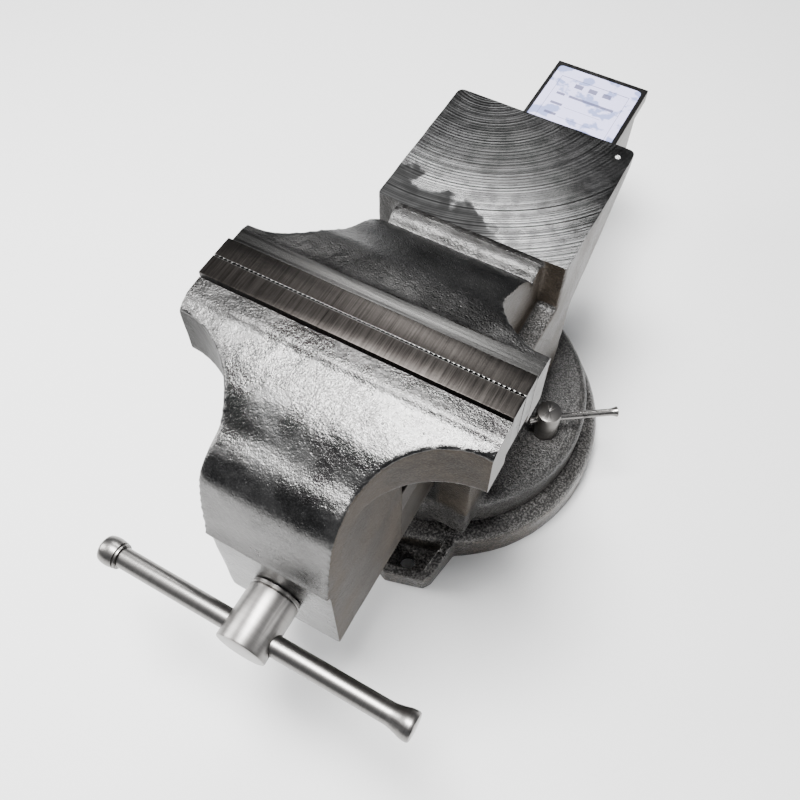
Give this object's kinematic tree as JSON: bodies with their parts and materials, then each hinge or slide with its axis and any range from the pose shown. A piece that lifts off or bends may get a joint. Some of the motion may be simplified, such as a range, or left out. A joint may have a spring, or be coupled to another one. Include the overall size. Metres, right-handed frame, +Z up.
{
  "type": "bench vise",
  "caption": "Heavy cast iron swivel-base bench vise with anvil, channel slide, lead screw with sliding handle bar, steel jaw plates and lock bolts.",
  "frame": {"origin": "on the bench face, under the swivel axis and the middle of the closed vise", "axes": "+X along the jaws, +Y towards the slide's tail, +Z up"},
  "size_m": [0.2828, 0.58, 0.302],
  "materials": {
    "cast_iron": "ground and sand-cast satin",
    "black_casting": "semi-gloss paint over a sand casting",
    "plate_steel": "ground",
    "turned_steel": "turned and polished",
    "dark_steel": "black oxide",
    "nut_bronze": "cast and machined",
    "label_paper": "printed paper"
  },
  "bodies": {
    "root": {"swivel_base": "black_casting"},
    "swivel_body": {"clamp_disc": "black_casting", "fixed_jaw_body": "cast_iron", "fixed_jaw_plate": "plate_steel", "fixed_plate_screw_left": "dark_steel", "fixed_plate_screw_right": "dark_steel", "lead_nut": "nut_bronze", "nut_bolt": "dark_steel"},
    "moving_jaw": {"moving_jaw_body": "cast_iron", "moving_jaw_plate": "plate_steel", "moving_plate_screw_left": "dark_steel", "moving_plate_screw_right": "dark_steel", "inspection_label": "label_paper"},
    "screw": {"lead_screw": "turned_steel", "thrust_washer": "turned_steel", "return_spring": "dark_steel", "retaining_collar": "dark_steel", "split_pin": "dark_steel"},
    "handle": {"handle_bar": "turned_steel", "handle_cap": "turned_steel"},
    "lock_left": {"lock_bolt_left": "turned_steel"},
    "lever_left": {"lock_lever_left": "turned_steel"},
    "lock_right": {"lock_bolt_right": "turned_steel"},
    "lever_right": {"lock_lever_right": "turned_steel"}
  },
  "joints": [
    {"name": "base_swivel", "type": "hinge", "parent": "root", "child": "swivel_body", "pos_m": [0, 0, 0.036], "axis": [0, 0, 1], "continuous": true},
    {"name": "jaw_slide", "type": "slide", "parent": "swivel_body", "child": "moving_jaw", "axis": [0, -1, 0], "range_m": [0, 0.2]},
    {"name": "screw_turn", "type": "hinge", "parent": "moving_jaw", "child": "screw", "pos_m": [0, -0.247, 0.15], "axis": [0, -1, 0], "range_deg": [0, 12000]},
    {"name": "handle_slide", "type": "slide", "parent": "screw", "child": "handle", "axis": [1, 0, 0], "range_m": [-0.08, 0.08]},
    {"name": "lock_bolt_left_turn", "type": "hinge", "parent": "swivel_body", "child": "lock_left", "pos_m": [-0.092, -0.006, 0.068], "axis": [0, 0, 1], "range_deg": [-60, 130]},
    {"name": "lock_lever_left_slide", "type": "slide", "parent": "lock_left", "child": "lever_left", "axis": [-0.8192, 0.5736, 0], "range_m": [-0.0025, 0]},
    {"name": "lock_bolt_right_turn", "type": "hinge", "parent": "swivel_body", "child": "lock_right", "pos_m": [0.092, -0.006, 0.068], "axis": [0, 0, 1], "range_deg": [-130, 60]},
    {"name": "lock_lever_right_slide", "type": "slide", "parent": "lock_right", "child": "lever_right", "axis": [0.8192, 0.5736, 0], "range_m": [-0.0025, 0]}
  ],
  "couplings": [
    {"joint": "jaw_slide", "follows": "screw_turn", "m_per_rad": 0.00095493}
  ]
}
